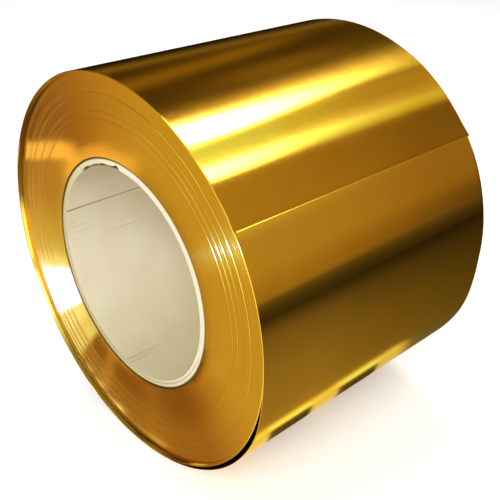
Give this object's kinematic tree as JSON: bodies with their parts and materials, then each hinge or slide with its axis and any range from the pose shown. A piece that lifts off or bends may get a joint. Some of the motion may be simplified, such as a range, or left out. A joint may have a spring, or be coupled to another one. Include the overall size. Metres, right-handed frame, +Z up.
{
  "type": "roll of brass sheet",
  "caption": "Heavy roll of thin polished brass sheet wound on a plain paper core, lying on its side with a loose last turn.",
  "frame": {"origin": "on the floor under the middle of the roll, where it rests", "axes": "+Y along the roll's axis from the near end to the far end, +Z up, +X to the side where the strip's end and the gap under the last turn are"},
  "size_m": [0.2757, 0.2206, 0.276],
  "materials": {
    "brass": "bright rolled",
    "core_paper": "plain uncoated"
  },
  "bodies": {
    "root": {"brass_strip": "brass", "core_tube": "core_paper"}
  },
  "joints": []
}
